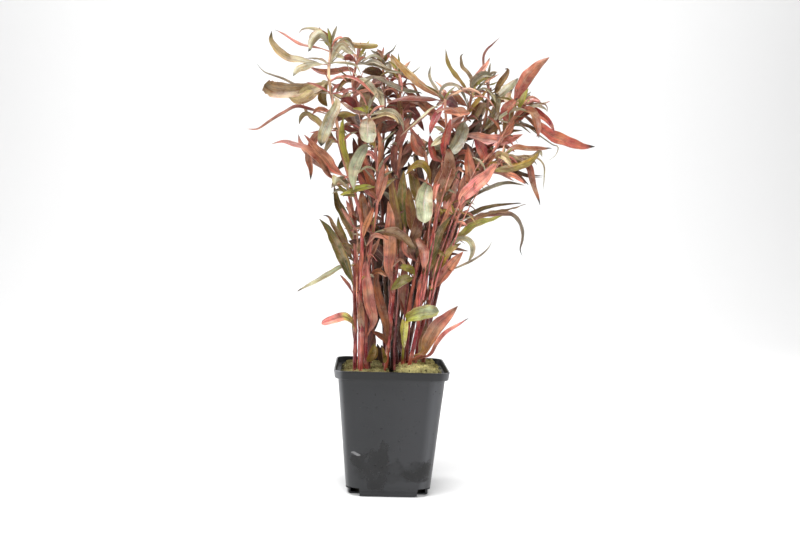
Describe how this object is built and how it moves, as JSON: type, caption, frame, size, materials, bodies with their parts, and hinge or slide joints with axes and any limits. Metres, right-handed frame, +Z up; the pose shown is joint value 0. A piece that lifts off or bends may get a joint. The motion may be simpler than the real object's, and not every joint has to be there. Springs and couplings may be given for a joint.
{
  "type": "potted alternanthera reineckii",
  "caption": "Bunch of leafy stems with sage, olive, salmon and crimson leaves, rooted in rock wool plugs in a square tapered nursery pot.",
  "frame": {"origin": "centre of the pot's flat underside", "axes": "+Z up along the pot's axis, -Y towards the front that the picture shows, +X to the right seen from the front"},
  "size_m": [0.2805, 0.1016, 0.3701],
  "materials": {
    "pot_plastic": "satin charcoal polypropylene with damp smudges",
    "rock_wool": "fibrous yellow-green mineral wool with brown spots",
    "shoot": "glossy pink-red stem with mixed sage, olive and red leaves",
    "leaf_sage": "satin sage leaf with pink underside",
    "leaf_tan": "satin tan leaf",
    "leaf_golden": "satin golden-brown leaf",
    "leaf_olive": "satin olive leaf with pink underside",
    "leaf_green": "satin dark green leaf",
    "leaf_lime": "satin lime leaf",
    "leaf_rust": "satin rust-red leaf",
    "leaf_salmon": "satin salmon leaf",
    "leaf_pink": "satin pink leaf",
    "leaf_mauve": "satin mauve leaf",
    "leaf_crimson": "satin crimson leaf",
    "leaf_maroon": "satin maroon leaf"
  },
  "bodies": {
    "root": {"pot": "pot_plastic", "wool_front_left": "rock_wool", "wool_front_right": "rock_wool", "wool_back_left": "rock_wool", "wool_back_right": "rock_wool", "stem_left_tall": "shoot", "stem_left_centre": "shoot", "stem_left_outer": "shoot", "stem_left_back": "shoot", "stem_centre_front": "shoot", "stem_centre_back": "shoot", "stem_right_tall": "shoot", "stem_right_lower": "shoot", "stem_right_outer": "shoot", "stem_right_inner": "shoot", "stem_back_middle": "shoot", "stem_back_right": "shoot", "leaf_left_top_pink": "leaf_pink", "leaf_left_top_tan": "leaf_tan", "leaf_left_top_sage": "leaf_sage", "leaf_left_hooked_sage": "leaf_sage", "leaf_left_crimson_arch": "leaf_crimson", "leaf_left_golden": "leaf_golden", "leaf_left_far_pink": "leaf_pink", "leaf_left_sage_hanging": "leaf_sage", "leaf_left_salmon_long": "leaf_salmon", "leaf_left_rust_drooping": "leaf_rust", "leaf_top_sage_flat": "leaf_olive", "leaf_left_sage_middle": "leaf_sage", "leaf_left_sage_blunt": "leaf_sage", "leaf_left_olive_tall": "leaf_olive", "leaf_left_green_long": "leaf_green", "leaf_left_low_sage": "leaf_sage", "leaf_left_low_pink": "leaf_lime", "leaf_middle_rust": "leaf_rust", "leaf_middle_salmon": "leaf_salmon", "leaf_top_sage_long": "leaf_sage", "leaf_centre_rust": "leaf_rust", "leaf_right_lime_folded": "leaf_lime", "leaf_middle_lime": "leaf_lime", "leaf_middle_maroon": "leaf_maroon", "leaf_middle_sage_hanging": "leaf_sage", "leaf_right_low_salmon": "leaf_salmon", "leaf_right_green_long": "leaf_green", "leaf_right_rust_broad": "leaf_rust", "leaf_top_golden_long": "leaf_golden", "leaf_top_maroon_arch": "leaf_maroon", "leaf_right_salmon_short": "leaf_salmon", "leaf_right_lime_long": "leaf_lime", "leaf_right_rust_long": "leaf_rust", "leaf_right_pink_drooping": "leaf_pink", "leaf_right_pink_broad": "leaf_pink", "leaf_right_sage_hanging": "leaf_sage", "leaf_right_mauve_level": "leaf_mauve", "leaf_right_rust_level": "leaf_rust", "leaf_right_rust_drooping": "leaf_rust", "leaf_right_top_crimson": "leaf_crimson", "leaf_right_far_salmon": "leaf_salmon", "leaf_top_olive_upright": "leaf_olive", "leaf_top_golden_hooked": "leaf_golden"}
  },
  "joints": []
}
